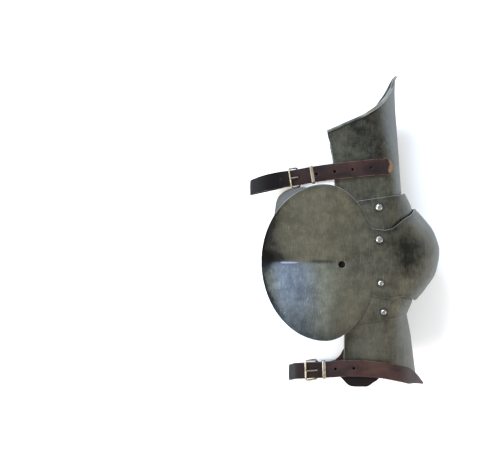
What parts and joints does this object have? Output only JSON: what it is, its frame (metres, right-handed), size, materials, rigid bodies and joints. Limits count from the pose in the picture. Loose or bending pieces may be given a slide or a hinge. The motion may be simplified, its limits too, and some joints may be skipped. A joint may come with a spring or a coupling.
{
  "type": "poleyn",
  "caption": "Articulated steel knee defence for a right leg, with thigh and greave plates, hinged lames, a fan wing and buckled leather straps.",
  "frame": {"origin": "middle of the bottom of the part's box, as it lies on its inner side", "axes": "+X towards the front of the knee, +Y up the leg towards the thigh, +Z towards the outer side of the leg"},
  "size_m": [0.254, 0.4168, 0.1915],
  "materials": {
    "plate_steel": "dark satin, hand polished over a blackened patina",
    "rivet_steel": "bright, worn",
    "leather": "dark brown, lightly waxed, pale cut edges",
    "buckle_metal": "nickel with a warm tarnish"
  },
  "bodies": {
    "cop": {"knee_cop": "plate_steel", "upper_hinge_rivet_outer": "rivet_steel", "upper_hinge_rivet_inner": "rivet_steel", "lower_hinge_rivet_outer": "rivet_steel", "lower_hinge_rivet_inner": "rivet_steel", "knee_strap": "leather", "knee_strap_buckle_strap": "leather", "knee_strap_buckle": "buckle_metal", "knee_strap_prong": "buckle_metal", "knee_strap_keeper": "buckle_metal", "knee_strap_rivet_outer": "rivet_steel", "knee_strap_rivet_inner": "rivet_steel"},
    "upper_lame": {"upper_lame": "plate_steel", "thigh_hinge_rivet_outer": "rivet_steel", "thigh_hinge_rivet_inner": "rivet_steel"},
    "thigh": {"thigh_plate": "plate_steel", "thigh_strap": "leather", "thigh_strap_buckle_strap": "leather", "thigh_strap_buckle": "buckle_metal", "thigh_strap_prong": "buckle_metal", "thigh_strap_keeper": "buckle_metal", "thigh_strap_rivet_outer": "rivet_steel", "thigh_strap_rivet_inner": "rivet_steel"},
    "lower_lame": {"lower_lame": "plate_steel", "shin_hinge_rivet_outer": "rivet_steel", "shin_hinge_rivet_inner": "rivet_steel"},
    "greave": {"greave_plate": "plate_steel", "greave_strap": "leather", "greave_strap_buckle_strap": "leather", "greave_strap_buckle": "buckle_metal", "greave_strap_prong": "buckle_metal", "greave_strap_keeper": "buckle_metal", "greave_strap_rivet_outer": "rivet_steel", "greave_strap_rivet_inner": "rivet_steel"}
  },
  "joints": [
    {"name": "upper_lame_hinge", "type": "hinge", "parent": "cop", "child": "upper_lame", "pos_m": [0.03303, -0.0091, 0.0861], "axis": [0, 0, 1], "range_deg": [0, 10]},
    {"name": "thigh_hinge", "type": "hinge", "parent": "upper_lame", "child": "thigh", "pos_m": [0.03303, 0.0309, 0.0861], "axis": [0, 0, 1], "range_deg": [0, 14]},
    {"name": "lower_lame_hinge", "type": "hinge", "parent": "cop", "child": "lower_lame", "pos_m": [0.03483, -0.0631, 0.0861], "axis": [0, 0, 1], "range_deg": [-10, 0]},
    {"name": "greave_hinge", "type": "hinge", "parent": "lower_lame", "child": "greave", "pos_m": [0.03863, -0.0991, 0.0861], "axis": [0, 0, 1], "range_deg": [-14, 0]}
  ]
}
